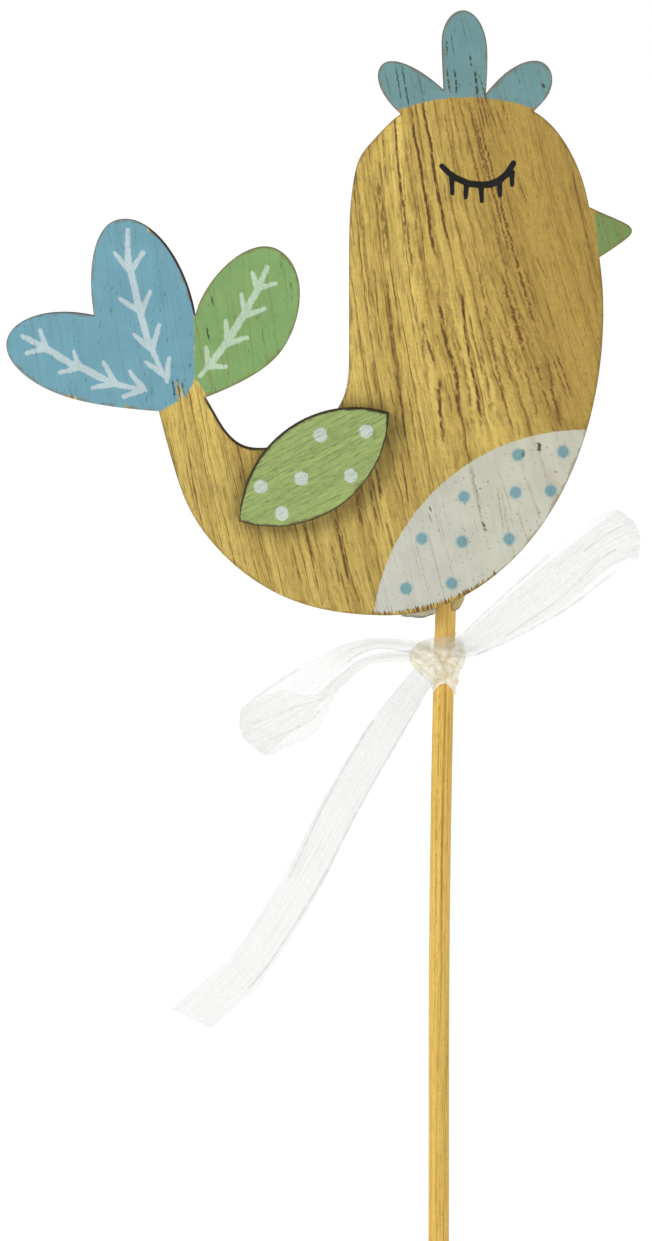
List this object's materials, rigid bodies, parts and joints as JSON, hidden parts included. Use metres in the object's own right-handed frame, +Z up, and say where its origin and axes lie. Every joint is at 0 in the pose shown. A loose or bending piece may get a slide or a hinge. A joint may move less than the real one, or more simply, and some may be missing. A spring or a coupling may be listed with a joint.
{
  "type": "bird plant pick",
  "caption": "Flat wooden bird with painted crest, beak, tail leaves and belly patch, a glued leaf-shaped wing, and a round stick tied with a sheer ribbon bow.",
  "frame": {"origin": "middle of the stick's lower end, the end that goes into the soil", "axes": "+Z up along the stick, +X the way the beak points, -Y the painted front"},
  "size_m": [0.0912, 0.0131, 0.25],
  "materials": {
    "bamboo": "satin",
    "oiled_wood": "satin",
    "green_painted_wood": "matt paint",
    "hot_glue": "waxy",
    "organza": "sheer"
  },
  "bodies": {
    "root": {"stick": "bamboo", "bird_board": "oiled_wood", "wing": "green_painted_wood", "glue_bead": "hot_glue", "ribbon_bow": "organza"}
  },
  "joints": []
}
